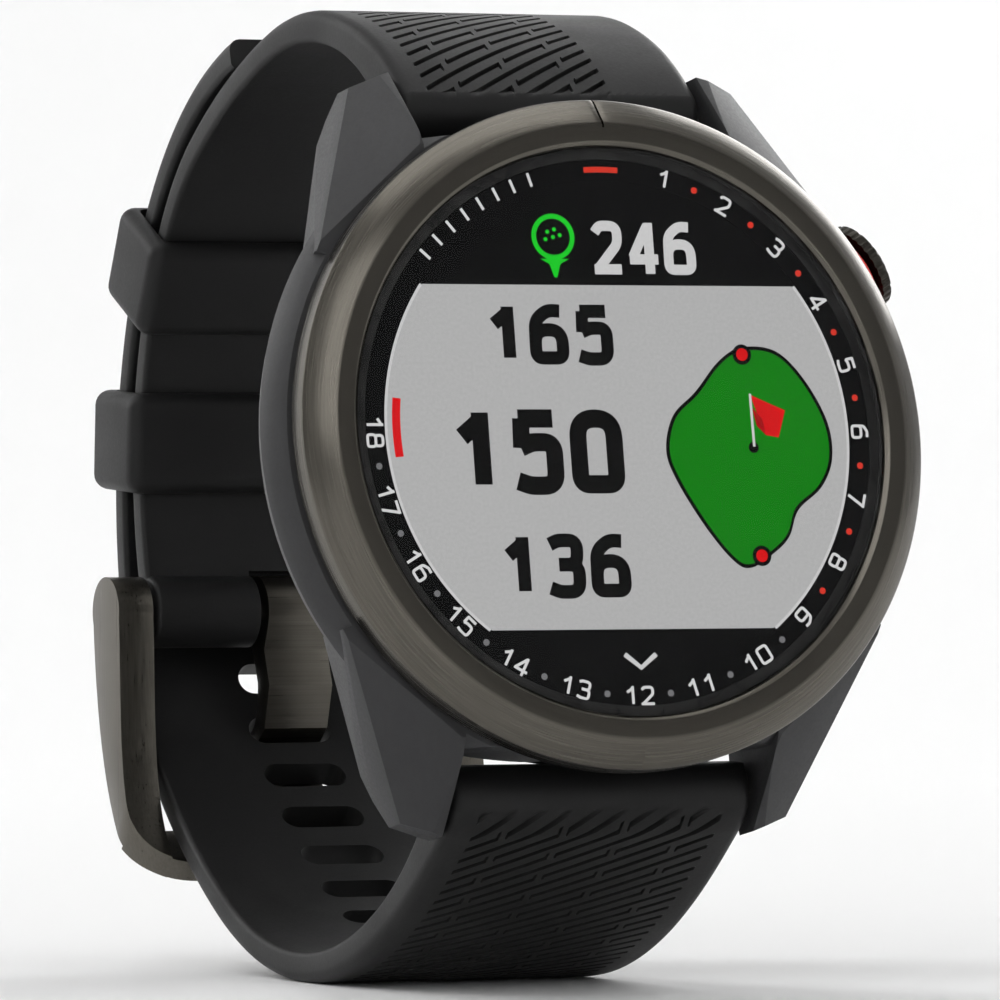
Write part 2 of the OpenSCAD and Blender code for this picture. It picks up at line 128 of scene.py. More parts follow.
def settle(piece, matrix=None):
    """Moves a piece by a matrix and leaves its place in its mesh."""
    only(piece)
    if matrix is not None:
        piece.matrix_world = matrix @ piece.matrix_world
    bpy.ops.object.transform_apply(location=True, rotation=True, scale=True)
    return piece


def modify(piece, kind, **settings):
    """Adds one modifier and applies it."""
    only(piece)
    modifier = piece.modifiers.new(kind.title(), kind)
    for name, value in settings.items():
        setattr(modifier, name, value)
    bpy.ops.object.modifier_apply(modifier=modifier.name)
    return piece


def clean(piece, distance=0.0005):
    """Merges doubles and turns the faces outwards."""
    only(piece)
    bpy.ops.object.mode_set(mode="EDIT")
    bpy.ops.mesh.select_all(action="SELECT")
    bpy.ops.mesh.remove_doubles(threshold=distance)
    bpy.ops.mesh.normals_make_consistent(inside=False)
    bpy.ops.object.mode_set(mode="OBJECT")
    return piece


def smooth(piece, angle):
    """Shades smoothly across edges flatter than an angle in degrees."""
    only(piece)
    bpy.ops.object.shade_smooth_by_angle(angle=radians(angle))
    return piece


def finish(piece, body, material, *nodes, slot=None):
    """Gives a piece its finish, its body and the nodes that it stands for."""
    piece.data.materials.clear()
    for one in material if isinstance(material, (list, tuple)) else (material,):
        piece.data.materials.append(one)
    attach(piece, body)
    if nodes:
        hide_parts(*nodes)
    return piece


def place_points(piece, points):
    """Puts the vertices of a mesh at these points."""
    piece.data.vertices.foreach_set("co", [value for point in points for value in point])
    piece.data.update()
    return piece


def lathe(name, outline, steps=256):
    """A ring turned about the dial's axis from a closed outline of (radius, depth)."""
    fresh()
    (radius, depth), rest = outline[0], outline[1:]
    bpy.ops.mesh.primitive_circle_add(vertices=steps, radius=radius, location=(0, depth, 0),
                                      rotation=(pi / 2, 0, 0), enter_editmode=True)
    bpy.ops.mesh.select_all(action="SELECT")
    for next_radius, next_depth in (*rest, outline[0]):
        bpy.ops.mesh.extrude_region_move(
            TRANSFORM_OT_translate={"value": (0, next_depth - depth, 0), "orient_type": "GLOBAL"})
        grow = next_radius / radius
        bpy.ops.transform.resize(value=(grow, 1, grow), orient_type="GLOBAL",
                                 center_override=(0, next_depth, 0))
        radius, depth = next_radius, next_depth
    piece = named(name)
    settle(piece)
    return clean(piece)


def outline_plate(name, points, depth, thickness=0.012):
    """A thin plate in the dial's plane, from an outline of (x, z)."""
    fresh()
    bpy.ops.mesh.primitive_circle_add(vertices=len(points), radius=1, fill_type="NGON")
    piece = named(name)
    place_points(piece, [(x, depth, z) for x, z in points])
    modify(piece, "SOLIDIFY", thickness=thickness, offset=0)
    return clean(piece, 0.00001)


def ribbon(name, path, width, depth, closed=False, thickness=0.012):
    """A thin stroke of even width along a path of (x, z)."""
    count = len(path)
    left, right = [], []
    for i, (x, z) in enumerate(path):
        before = path[i - 1] if i or closed else path[i]
        after = path[(i + 1) % count] if i < count - 1 or closed else path[i]
        dx, dz = after[0] - before[0], after[1] - before[1]
        length = hypot(dx, dz) or 1
        nx, nz = -dz / length * width / 2, dx / length * width / 2
        left.append((x + nx, depth, z + nz))
        right.append((x - nx, depth, z - nz))
    if closed:
        left.append(left[0])
        right.append(right[0])
    fresh()
    bpy.ops.mesh.primitive_grid_add(x_subdivisions=len(left) - 1, y_subdivisions=1, size=1)
    piece = named(name)
    place_points(piece, left + right)
    clean(piece, 0.0001)
    modify(piece, "SOLIDIFY", thickness=thickness, offset=0)
    return clean(piece, 0.00001)


def joined(name, pieces):
    """Several pieces made one."""
    only(*pieces)
    if len(pieces) > 1:
        bpy.ops.object.join()
    return named(name)


def cut(piece, *cutters):
    """Takes solids away from a piece and removes them."""
    for cutter in cutters:
        modify(piece, "BOOLEAN", operation="DIFFERENCE", object=cutter, solver="EXACT")
        bpy.data.objects.remove(cutter)
    return piece


def softened(node, name, width, segments=3, angle=28):
    """A copy of a CAD node, merged to plain faces, with its sharp edges rounded."""
    source = frame["nodes"][node]
    piece = source.copy()
    piece.data = source.data.copy()
    bpy.context.scene.collection.objects.link(piece)
    for key in list(piece.keys()):
        del piece[key]
    piece.parent = None
    piece.name = piece.data.name = name
    only(piece)
    bpy.ops.object.mode_set(mode="EDIT")
    bpy.ops.mesh.select_all(action="SELECT")
    bpy.ops.mesh.customdata_custom_splitnormals_clear()
    bpy.ops.mesh.remove_doubles(threshold=0.000002)
    bpy.ops.mesh.dissolve_limited(angle_limit=radians(0.6))
    bpy.ops.object.mode_set(mode="OBJECT")
    modify(piece, "BEVEL", width=width * MM, segments=segments, limit_method="ANGLE",
           angle_limit=radians(angle), use_clamp_overlap=True, miter_outer="MITER_ARC")
    return smooth(piece, 30)


# ---- Strap route ----

def along(start, arcs, distance):
    """(depth, height, heading in degrees) at a distance along a chain of arcs."""
    depth, height, heading = start
    for i, (length, turn) in enumerate(arcs):
        last = i == len(arcs) - 1
        share = distance / length if last or distance <= length else 1
        radius = length / radians(turn)
        ahead = heading + turn * share
        depth += radius * (sin(radians(ahead)) - sin(radians(heading)))
        height -= radius * (cos(radians(ahead)) - cos(radians(heading)))
        heading = ahead
        if share != 1 or last:
            break
        distance -= length
    return depth, height, heading


def on_strap(start, arcs, distance, across, off):
    """A watch-frame point: distance along the strap, across it, and off its middle surface."""
    depth, height, heading = along(start, arcs, distance)
    return (across, depth - off * sin(radians(heading)), height + off * cos(radians(heading)))


# ---- Shader helpers ----

class Value:
    """A shader value that takes part in Python expressions."""

    def __init__(self, shader, socket):
        self.shader, self.socket = shader, socket

    def math(self, operation, *values):
        return self.shader.node("ShaderNodeMath", {"operation": operation}, *values)

    def __add__(self, other):
        return self.math("ADD", self, other)

    def __sub__(self, other):
        return self.math("SUBTRACT", self, other)

    def __rsub__(self, other):
        return self.math("SUBTRACT", other, self)

    def __mul__(self, other):
        return self.math("MULTIPLY", self, other)

    def __truediv__(self, other):
        return self.math("DIVIDE", self, other)

    def __pow__(self, other):
        return self.math("POWER", self, other)

    __radd__ = __add__
    __rmul__ = __mul__


class Shader:
    """One material's node tree."""

    def __init__(self, name):
        self.material = bpy.data.materials.new(name)
        self.material.use_nodes = True
        self.tree = self.material.node_tree
        self.surface = self.tree.nodes["Principled BSDF"]

    def feed(self, socket, value):
        if isinstance(value, Value):
            self.tree.links.new(value.socket, socket)
        else:
            socket.default_value = value

    def node(self, kind, settings=None, *values, output=0, **inputs):
        made = self.tree.nodes.new(kind)
        for name, value in (settings or {}).items():
            setattr(made, name, value)
        for socket, value in zip(made.inputs, values):
            self.feed(socket, value)
        for name, value in inputs.items():
            self.feed(made.inputs[name], value)
        return Value(self, made.outputs[output])

    def place(self, centre=(0, 0, 0), turn=(0, 0, 0)):
        """Object coordinates measured from a place, in metres."""
        here = self.node("ShaderNodeTexCoord", output=3)
        return self.node("ShaderNodeMapping", {"vector_type": "TEXTURE"}, here, tuple(centre), turn)

    def stretched(self, vector, scale):
        return self.node("ShaderNodeVectorMath", {"operation": "MULTIPLY"}, vector, scale)

    def split(self, vector):
        made = self.tree.nodes.new("ShaderNodeSeparateXYZ")
        self.feed(made.inputs[0], vector)
        return [Value(self, socket) for socket in made.outputs]

    def combined(self, x, y, z):
        return self.node("ShaderNodeCombineXYZ", None, x, y, z)

    def noise(self, vector, scale, detail=2, roughness=0.5):
        return self.node("ShaderNodeTexNoise", None, Vector=vector, Scale=scale, Detail=detail,
                         Roughness=roughness)

    def mapped(self, value, low, high, start, end, kind="LINEAR"):
        return self.node("ShaderNodeMapRange", {"interpolation_type": kind}, value, low, high, start, end)

    def mixed(self, share, first, second):
        """A colour between two colours."""
        made = self.tree.nodes.new("ShaderNodeMix")
        made.data_type = "RGBA"
        self.feed(made.inputs[0], share)
        self.feed(made.inputs[6], first)
        self.feed(made.inputs[7], second)
        return Value(self, made.outputs[2])

    def bump(self, height, distance, strength):
        return self.node("ShaderNodeBump", None, Strength=strength, Distance=distance, Height=height)

    def set(self, **inputs):
        for name, value in inputs.items():
            self.feed(self.surface.inputs[name.replace("_", " ")], value)
        return self.material


def tone(colour, share):
    """A colour made lighter or darker."""
    return (*(min(1, part * share) for part in colour[:3]), 1)


WATCH_TURN = (-LEAN, 0, 0)


def polymer(name, colour, roughness=0.52):
    """Moulded fibre-reinforced polymer: fine matte grain and faint mottling."""
    shader = Shader(name)
    here = shader.place()
    grain = shader.noise(here, 5200, 3, 0.6)
    mottle = shader.noise(here, 240, 3)
    fibre = shader.noise(shader.stretched(here, (1, 1, 0.3)), 1900, 2)
    base = shader.mixed(shader.mapped(mottle + fibre * 0.6, 0.5, 1.15, 0, 1), tone(colour, 0.86),
                        tone(colour, 1.16))
    rough = shader.mapped(grain, 0.3, 0.7, roughness - 0.05, roughness + 0.07)
    return shader.set(Base_Color=base, Roughness=rough, Normal=shader.bump(grain, 0.000012, 0.45),
                      Specular_IOR_Level=0.42)


def silicone(name, colour):
    """Soft matte silicone: fine moulding grain, dust-dulled highs, and groove floors darkened to near black
    as painted shade.
    """
    shader = Shader(name)
    here = shader.place()
    grain = shader.noise(here, 4200, 3, 0.65)
    cloud = shader.noise(here, 130, 4)
    groove = shader.node("ShaderNodeAttribute", {"attribute_name": "groove"}, output=2)
    base = shader.mixed(shader.mapped(cloud, 0.35, 0.65, 0, 1), tone(colour, 0.88), tone(colour, 1.12))
    # Groove floors go almost black: painted shade in the grooves, on top of their real depth.
    base = shader.mixed(groove, base, tone(colour, 0.04))
    rough = shader.mapped(cloud + grain * 0.5, 0.55, 0.95, 0.46, 0.6) + groove * 0.2
    return shader.set(Base_Color=base, Roughness=rough, Normal=shader.bump(grain, 0.000014, 0.5),
                      Specular_IOR_Level=0.3, Sheen_Weight=0.02, Sheen_Roughness=0.45)


def brushed_ring(name, colour):
    """Coated steel brushed round the dial: fine circular lines and slow changes round the ring; the polished
    flat is painted at half colour, painted shade that leaves the inner chamfer as a painted highlight.
    """
    shader = Shader(name)
    x, y, z = shader.split(shader.place(DIAL, WATCH_TURN))
    radius = (x * x + z * z) ** 0.5
    angle = shader.node("ShaderNodeMath", {"operation": "ARCTAN2"}, x, z)
    lines = shader.noise(shader.combined(angle * 3, radius * 9000, y * 9000), 1, 3, 0.7)
    broad = shader.noise(shader.combined(angle * 2, radius * 1800, y * 1800), 1, 2, 0.5)
    base = shader.mixed(shader.mapped(lines * 0.7 + broad * 0.3, 0.32, 0.68, 0, 1), tone(colour, 0.82),
                        tone(colour, 1.2))
    # Mask of the inner chamfer and the brushed slope: the flat between them gets half colour (painted shade,
    # the chamfer left bright as a painted highlight) and less roughness.
    slope = shader.mapped(radius, 18.42 * MM, 18.6 * MM, 0.0, 1.0)
    slope = slope + shader.mapped(radius, 17.4 * MM, 17.46 * MM, 1.0, 0.0)
    base = shader.mixed(slope, tone(colour, 0.5), base)
    rough = shader.mapped(lines, 0.3, 0.7, 0.06, 0.16) + slope * 0.14
    return shader.set(Base_Color=base, Metallic=1.0, Roughness=rough,
                      Normal=shader.bump(lines, 0.00001, 0.55))


def brushed(name, colour, along, rough=(0.26, 0.42)):
    """Coated or plain steel brushed along one direction."""
    shader = Shader(name)
    here = shader.place()
    stretch = tuple(60 if part else 7500 for part in along)
    lines = shader.noise(shader.stretched(here, stretch), 1, 3, 0.7)
    cloud = shader.noise(here, 300, 3)
    base = shader.mixed(shader.mapped(lines * 0.7 + cloud * 0.3, 0.32, 0.68, 0, 1), tone(colour, 0.82),
                        tone(colour, 1.2))
    return shader.set(Base_Color=base, Metallic=1.0,
                      Roughness=shader.mapped(lines, 0.3, 0.7, *rough),
                      Normal=shader.bump(lines, 0.00001, 0.5))


def plain(name, colour, roughness, metallic=0.0, scale=1500, depth=0.00001, coat=0.0):
    """A small part's finish: slight mottling and a light grain."""
    shader = Shader(name)
    here = shader.place()
    grain = shader.noise(here, scale, 3)
    base = shader.mixed(shader.mapped(grain, 0.35, 0.65, 0, 1), tone(colour, 0.86), tone(colour, 1.14))
    return shader.set(Base_Color=base, Metallic=metallic, Coat_Weight=coat,
                      Roughness=shader.mapped(grain, 0.3, 0.7, roughness * 0.85, min(1, roughness * 1.15)),
                      Normal=shader.bump(grain, depth, 0.3))


def circuit(name):
    """Green solder mask with copper tracks showing through and tinned pads."""
    shader = Shader(name)
    here = shader.place(DIAL, WATCH_TURN)
    x, y, z = shader.split(here)
    cells = shader.node("ShaderNodeTexVoronoi", {"distance": "MANHATTAN"}, Vector=here, Scale=1100)
    tracks = shader.node("ShaderNodeTexBrick", None, Vector=shader.combined(x, z, y), Scale=420)
    pads = shader.mapped(cells, 0.1, 0.16, 1, 0)
    base = shader.mixed(tracks, (0.01, 0.075, 0.03, 1), (0.03, 0.17, 0.06, 1))
    base = shader.mixed(pads, base, (0.6, 0.6, 0.58, 1))
    return shader.set(Base_Color=base, Roughness=0.35, Metallic=pads * 0.9,
                      Normal=shader.bump(pads, 0.00002, 0.4))


def lit(name, colour):
    """Display and print under the glass: their colour painted on as glow (emission) in place of lamplight,
    with the panel's faint dot grid.
    """
    shader = Shader(name)
    x, y, z = shader.split(shader.place(DIAL, WATCH_TURN))
    dots = shader.noise(shader.combined(x * 5000, z * 5000, 0.0), 1, 1)
    shade = shader.mixed(shader.mapped(dots, 0.35, 0.65, 0, 1), tone(colour, 0.97), tone(colour, 1.03))
    return shader.set(Base_Color=(0.0015, 0.0015, 0.0015, 1), Roughness=0.6, Specular_IOR_Level=0.03,
                      Emission_Color=shade, Emission_Strength=1.0)


def crystal(name):
    """Cover glass."""
    shader = Shader(name)
    haze = shader.noise(shader.place(), 300, 2)
    return shader.set(Base_Color=(1, 1, 1, 1), Transmission_Weight=1.0, IOR=1.14,
                      Roughness=shader.mapped(haze, 0.3, 0.7, 0.0, 0.012))


def studio(name, colour):
    shader = Shader(name)
    mottle = shader.noise(shader.place(), 4, 2)
    return shader.set(Base_Color=shader.mixed(mottle, tone(colour, 0.995), tone(colour, 1.0)), Roughness=0.9,
                      Specular_IOR_Level=0.1)


# ---- Settings ----

class WatchSettings(bpy.types.PropertyGroup):
    """Sizes in millimetres and colours of the watch."""

    groove_pitch: bpy.props.FloatProperty(
        name="Groove pitch", description="Spacing of the strap's grooves along it, in mm", default=1.065)
    groove_slope: bpy.props.FloatProperty(
        name="Groove slope", description="Rise of a groove along the strap for each mm across", default=0.6)
    groove_depth: bpy.props.FloatProperty(
        name="Groove depth", description="Depth of the strap's grooves, in mm", default=0.3)
    strap_colour: bpy.props.FloatVectorProperty(
        name="Strap", description="Colour of the silicone", subtype="COLOR", default=(0.0062, 0.0062, 0.0063))
    case_colour: bpy.props.FloatVectorProperty(
        name="Case", description="Colour of the polymer case", subtype="COLOR",
        default=(0.031, 0.031, 0.0325))
    metal_colour: bpy.props.FloatVectorProperty(
        name="Metal", description="Colour of the bezel, the buckle and the tang", subtype="COLOR",
        default=(0.125, 0.116, 0.1))
    field_colour: bpy.props.FloatVectorProperty(
        name="Display field", description="Colour of the display's field", subtype="COLOR",
        default=(0.42, 0.42, 0.42))
    floor_colour: bpy.props.FloatVectorProperty(
        name="Floor", description="Colour of the floor and backdrop", subtype="COLOR",
        default=(0.9, 0.9, 0.9))


def settings():
    return bpy.context.scene.golf_watch


# ---- Strap building ----

# Places across the strap where every second groove is broken, and half the textured field.
BREAKS = (-6.05, -2.15, 1.75, 5.65)
BREAK_HALF = 0.21
FIELD_HALF = 8.1
# Distances from the spring bar between which a half is textured.
TEXTURED = (0.2, 34)
EDGE_R = 0.75
INNER_EDGE_R = 0.35
END_FADE = 4.5
GROOVE_HALF = 0.14
GROOVE_WALL = 0.06
PLAIN_STEP = 0.7


def groove_rows(pitch):
    """Row offsets within one groove's pitch, crowded at its walls."""
    return (-0.36, -0.19, -0.13, -0.07, 0.0, 0.07, 0.13, 0.19, 0.36, 0.53 * pitch)


def groove_share(offset):
    """How deep a groove is at an offset from its middle line, from 0 to 1."""
    inside = (GROOVE_HALF - abs(offset)) / GROOVE_WALL + 0.5
    inside = max(0.0, min(1.0, inside))
    return inside * inside * (3 - 2 * inside)


def groove_at(across, offset, index, field):
    """Groove share at a point: long lines, every second one broken at set columns, with small hooks."""
    low, high = field
    share = groove_share(offset)
    edge = min(1.0, max(0.0, min(across - low, high - across) / 0.12))
    share *= edge
    if index % 2 == 0:
        for column in BREAKS:
            near = across - column
            hook_before = -0.36 < near <= -BREAK_HALF and -0.4 < offset < 0.05
            hook_after = BREAK_HALF <= near < 0.34 and -0.05 < offset < 0.2
            if abs(near) < BREAK_HALF:
                share = 0.0
            elif hook_before or hook_after:
                share = max(share, edge)
    return share


def across_stations(half, field):
    """Places across the strap's outer face, crowded at the breaks and the field's edges."""
    places = set()
    count = 30
    for i in range(count + 1):
        places.add(round(-half + 2 * half * i / count, 3))
    near = (-0.44, -0.38, -0.34, -0.28, -0.23, -0.19, 0.0, 0.19, 0.23, 0.3, 0.36, 0.44)
    for column in BREAKS:
        if column < field[1]:
            places = {p for p in places if abs(p - column) > 0.5}
            places.update(round(column + step, 3) for step in near)
    for edge in field:
        places = {p for p in places if abs(p - edge) > 0.16}
        places.update(round(edge + step, 3) for step in (-0.14, 0.0, 0.14))
    return sorted(p for p in places if abs(p) <= half)


def section(outer):
    """One closed section round the strap: (which side, place or side sign, turn of the rounding)."""
    flat = STRAP_W / 2 - INNER_EDGE_R
    turns = [pi / 2 * i / 5 for i in range(6)]
    ring = [("face", a, 0.0) for a in outer]
    ring += [("edge", 1, turn) for turn in turns[1:]]
    ring += [("inner_edge", 1, turn) for turn in turns[:-1]]
    count = 18
    ring += [("inner", flat - 2 * flat * i / count, 0.0) for i in range(count + 1)]
    ring += [("inner_edge", -1, turn) for turn in reversed(turns[:-1])]
    ring += [("edge", -1, turn) for turn in reversed(turns[1:])]
    return ring


class Strap:
    """One strap half: its route, which side faces out, its thickness and its textured field."""

    def __init__(self, start, arcs, out, slope, field):
        self.start, self.arcs, self.out, self.slope, self.field = start, arcs, out, slope, field
        self.length = sum(length for length, _ in arcs)

    def thick(self, s):
        """Thickness at a distance from the spring bar."""
        return STRAP_T + (END_D - STRAP_T) * exp(-s / END_FADE)

    def rows(self, pitch):
        """Rows of (slanted distance, groove offset, groove number, back step, thickness share)."""
        rows = []
        radius = END_D / 2
        for i in range(9):
            turn = pi / 2 * (1 - i / 8)
            rows.append((None, 0.0, None, radius * sin(turn), cos(turn)))
        low, high = TEXTURED
        reach = abs(self.slope) * FIELD_HALF
        first = ceil((low - reach) / pitch)
        last = int((high + reach) / pitch)
        for index in range(first, last + 1):
            for offset in groove_rows(pitch):
                rows.append((index * pitch + offset, offset, index, 0.0, 1.0))
        s = high + 0.4
        while s < self.length - 0.5:
            rows.append((s, 0.0, None, 0.0, 1.0))
            s += PLAIN_STEP
        rows.append((self.length, 0.0, None, 0.0, 1.0))
        return rows

    def built(self, name):
        """The strap half as one closed mesh, with its grooves and a groove attribute."""
        options = settings()
        pitch, depth = options.groove_pitch, options.groove_depth
        ring = section(across_stations(STRAP_W / 2 - EDGE_R, self.field))
        rows = self.rows(pitch)
        points, grooves = [], []
        for row in rows:
            for place in ring + ring[:1]:
                point, groove = self.point(place, row)
                points.append(self.lift(point, groove * depth))
                grooves.append(groove)
        fresh()
        bpy.ops.mesh.primitive_grid_add(x_subdivisions=len(ring), y_subdivisions=len(rows) - 1, size=1)
        piece = named(name)
        place_points(piece, points)
        layer = piece.data.attributes.new("groove", "FLOAT", "POINT")
        layer.data.foreach_set("value", grooves)
        only(piece)
        bpy.ops.object.mode_set(mode="EDIT")
        bpy.ops.mesh.select_all(action="SELECT")
        bpy.ops.mesh.remove_doubles(threshold=0.0004)
        bpy.ops.mesh.select_all(action="DESELECT")
        bpy.ops.mesh.select_non_manifold(extend=False, use_wire=False, use_multi_face=False,
                                         use_non_contiguous=False, use_verts=False)
        bpy.ops.mesh.fill_holes(sides=0)
        bpy.ops.mesh.select_all(action="SELECT")
        bpy.ops.mesh.normals_make_consistent(inside=False)
        bpy.ops.object.mode_set(mode="OBJECT")
        return piece

    def point(self, place, row):
        """(distance, across, off the middle, back step) and groove share of one lattice point."""
        kind, across, turn = place
        slanted, offset, index, back, share = row
        low, high = TEXTURED
        half_w = STRAP_W / 2
        if kind == "edge":
            across *= half_w - EDGE_R + EDGE_R * sin(turn)
        elif kind == "inner_edge":
            across *= half_w - INNER_EDGE_R + INNER_EDGE_R * cos(turn)
        shear = self.slope * max(-FIELD_HALF, min(FIELD_HALF, across))
        if slanted is None:
            s = low
        elif index is None:
            s = slanted
        else:
            s = max(low, min(high, slanted - shear))
        half_t = self.thick(s) / 2 * share
        edge, inner_edge = min(EDGE_R, half_t), min(INNER_EDGE_R, half_t)
        groove = 0.0
        if kind == "face":
            off = half_t
            inside = index is not None and low < s < high
            if inside and self.field[0] < across < self.field[1]:
                fade = min(1.0, (s - low) / 0.5, (high - s) / 0.5)
                groove = groove_at(across, offset, index, self.field) * fade
        elif kind == "inner":
            off = -half_t
        elif kind == "edge":
            off = half_t - edge + edge * cos(turn)
        else:
            off = -half_t + inner_edge - inner_edge * sin(turn)
        return (s, across, off, back), groove

    def lift(self, point, sunk):
        """The watch-frame place of a lattice point, sunk into the outer face."""
        s, across, off, back = point
        depth, height, heading = along(self.start, self.arcs, s)
        away = self.out * (off - sunk)
        cosine, sine = cos(radians(heading)), sin(radians(heading))
        return (across, depth - away * sine - back * cosine, height + away * cosine - back * sine)


# ---- Strokes and numerals ----

def rounded_path(points, radius, closed=False, steps=7):
    """A path whose corners are turned into arcs, as far as their legs allow."""
    count = len(points)
    path = []
    for i, corner in enumerate(points):
        here = Vector(corner)
        if not closed and i in (0, count - 1):
            path.append(corner)
            continue
        to_before = Vector(points[i - 1]) - here
        to_after = Vector(points[(i + 1) % count]) - here
        half = to_before.angle(to_after) / 2
        if half > 1.5:
            path.append(corner)
            continue
        reach = radius / tan(half)
        reach = min(reach, to_before.length * 0.49, to_after.length * 0.49)
        first, last = here + to_before.normalized() * reach, here + to_after.normalized() * reach
        for k in range(steps + 1):
            t = k / steps
            path.append(tuple(first * (1 - t) ** 2 + here * 2 * t * (1 - t) + last * t * t))
    return path


# Strokes of each numeral in a unit box, as (closed, points).
STROKES = {
    "0": ((True, ((0.5, 0), (1, 0), (1, 1), (0, 1), (0, 0))),),
    "1": ((False, ((0.68, 0.0), (0.68, 1.09))), (False, ((0.72, 0.98), (0.16, 0.72)))),
    "2": ((False, ((0.0, 0.86), (0.2, 1.02), (0.98, 1.02), (0.98, 0.6), (0.06, 0.0))),
          (False, ((-0.1, 0.0), (1.1, 0.0)))),
    "3": ((False, ((0.0, 0.94), (0.3, 1.02), (1.0, 1.02), (0.96, 0.53), (0.3, 0.53))),
          (False, ((0.3, 0.53), (1.03, 0.53), (1.0, -0.02), (0.3, -0.02), (-0.05, 0.06)))),
    "4": ((False, ((0.76, -0.1), (0.76, 1.1))), (False, ((0.7, 1.0), (0.02, 0.28))),
          (False, ((-0.12, 0.24), (1.14, 0.24)))),
    "5": ((False, ((0.05, 1.0), (1.0, 1.0))), (False, ((0.13, 1.0), (0.1, 0.55))),
          (False, ((0.08, 0.56), (0.4, 0.64), (1.0, 0.64), (1.0, -0.02), (0.3, -0.02), (-0.05, 0.05)))),
    "6": ((False, ((0.96, 1.0), (0.5, 1.02), (0.02, 0.8), (0.0, 0.3))),
          (True, ((0.5, 0), (1, 0), (1, 0.6), (0, 0.6), (0, 0)))),
    "7": ((False, ((-0.08, 1.0), (1.08, 1.0))), (False, ((0.96, 1.0), (0.34, -0.1)))),
    "8": ((True, ((0.5, 0), (1, 0), (1, 0.53), (0, 0.53), (0, 0))),
          (True, ((0.5, 0.53), (0.94, 0.53), (0.94, 1.0), (0.06, 1.0), (0.06, 0.53)))),
    "9": ((False, ((0.04, 0.0), (0.5, -0.02), (0.98, 0.2), (1.0, 0.7))),
          (True, ((0.5, 1), (0, 1), (0, 0.4), (1, 0.4), (1, 1)))),
}


STROKE_STEP = 0.0004


def numeral_pieces(text, height, width, gap, weight, round_share, depth, at):
    """Strokes of a number; at() turns a point of the number's own plane into (x, z)."""
    pieces = []
    advance = width + gap
    whole = len(text) * width + (len(text) - 1) * gap
    inner_w, inner_h = width - weight, height - weight
    for k, digit in enumerate(text):
        corner = -whole / 2 + k * advance + weight / 2
        for closed, points in STROKES[digit]:
            scaled = [(corner + px * inner_w, weight / 2 + py * inner_h) for px, py in points]
            path = rounded_path(scaled, round_share * inner_w, closed)
            placed = [at(x, y - height / 2) for x, y in path]
            pieces.append(ribbon("stroke", placed, weight, depth - STROKE_STEP * len(pieces), closed))
    return pieces


def straight_at(centre_x, centre_z):
    """Places a numeral's points upright, the number centred here."""
    return lambda x, y: (centre_x + x, centre_z + y)


def turned_at(radius, clock, flipped):
    """Places a numeral's points round the dial, its top outwards or, flipped, inwards."""
    sign = -1 if flipped else 1

    def at(x, y):
        out, side = radius + sign * y, sign * x
        turn = radians(clock)
        return (out * sin(turn) + side * cos(turn), out * cos(turn) - side * sin(turn))
    return at


def on_dial(radius, clock):
    """A point at a radius and an angle in degrees, clockwise from 12."""
    return (radius * sin(radians(clock)), radius * cos(radians(clock)))


def disc_points(x, z, radius, count=28):
    """Points round a circle, clockwise from its top."""
    turns = [2 * pi * k / count for k in range(count)]
    return [(x + radius * sin(turn), z + radius * cos(turn)) for turn in turns]


def chord_field(radius, low, high, count=60):
    """Outline of a round field cut off flat at two heights."""
    angles = (acos(high / radius), acos(low / radius))
    points = []
    for side in (1, -1):
        span = range(count + 1) if side == 1 else range(count, -1, -1)
        for k in span:
            turn = angles[0] + (angles[1] - angles[0]) * k / count
            points.append((side * radius * sin(turn), radius * cos(turn)))
    return points


DISPLAY_R = 15.2
RING_R = 17.02
RING_TEXT_R = 15.84
HOLES = 18
HOLE_STEP = 15
# Angles between which the numbers stand with their tops inwards, and past which the dots are grey.
INWARDS_FROM, INWARDS_TO = 128, 275
# The display's grey field and its lighter rim.
FIELD_R = 14.98
FIELD_RIM_R = 15.06
FIELD_TOP = 8.85
FIELD_LOW = -11.85
# Depths of the thin plates that make the picture and the print, the nearest the smallest.
PANEL_DEPTH = 0.99
FIELD_DEPTH = 0.44
RIM_DEPTH = 0.432
GREEN_EDGE_DEPTH = 0.425
TEXT_DEPTH = 0.42
GREEN_DEPTH = 0.41
MARK_EDGE_DEPTH = 0.4
MARK_DEPTH = 0.385
FOLD_DEPTH = 0.37
POLE_DEPTH = 0.368
RING_DEPTH = 0.39
PRINT_DEPTH = 0.355
# Distances: (text, x, z, height, width of a numeral, weight of its strokes).
YARDAGES = (("165", -4.15, 5.85, 3.62, 2.55, 0.8), ("150", -5.5, -1.18, 5.05, 3.45, 1.1),
            ("136", -4.2, -8.05, 3.78, 2.6, 0.82))
# The green seen from above, its two edge marks, the hole and the flag.
GREEN_MIDDLE = (8.6, -1.6)
GREEN_MARKS = ((8.43, 4.68), (8.75, -7.5))
HOLE = (8.75, -0.95)
FLAG = ((8.75, 2.25), (9.9, 1.75), (11.0, 1.3), (10.45, -0.35), (9.6, -0.2))
FLAG_FOLD = ((8.8, 1.5), (9.45, 0.75), (9.6, -0.2), (9.05, 0.35))
FLAG_POLE = ((8.75, 2.3), (8.78, -0.9))
CHEVRON = ((-0.72, -13.35), (0.3, -14.15), (1.32, -13.35))
BALL = (-3.4, 11.75)
BALL_DIMPLES = ((-0.35, 0.3), (0.1, 0.45), (-0.5, -0.15), (0.0, -0.02), (0.45, 0.1))
TEE = ((-4.35, 10.42), (-2.45, 10.42), (-3.05, 10.1), (-3.3, 9.3), (-3.5, 9.3), (-3.75, 10.1))
GREEN = ((8.43, 4.95), (10.6, 4.75), (12.3, 3.1), (13.6, 0.6), (13.75, -1.6), (12.9, -3.3), (11.3, -4.6),
         (10.6, -6.2), (9.5, -7.2), (8.0, -8.05), (6.9, -7.6), (5.3, -5.6), (3.7, -2.9), (3.15, -1.1),
         (3.75, 0.9), (5.3, 2.3), (6.9, 4.1))


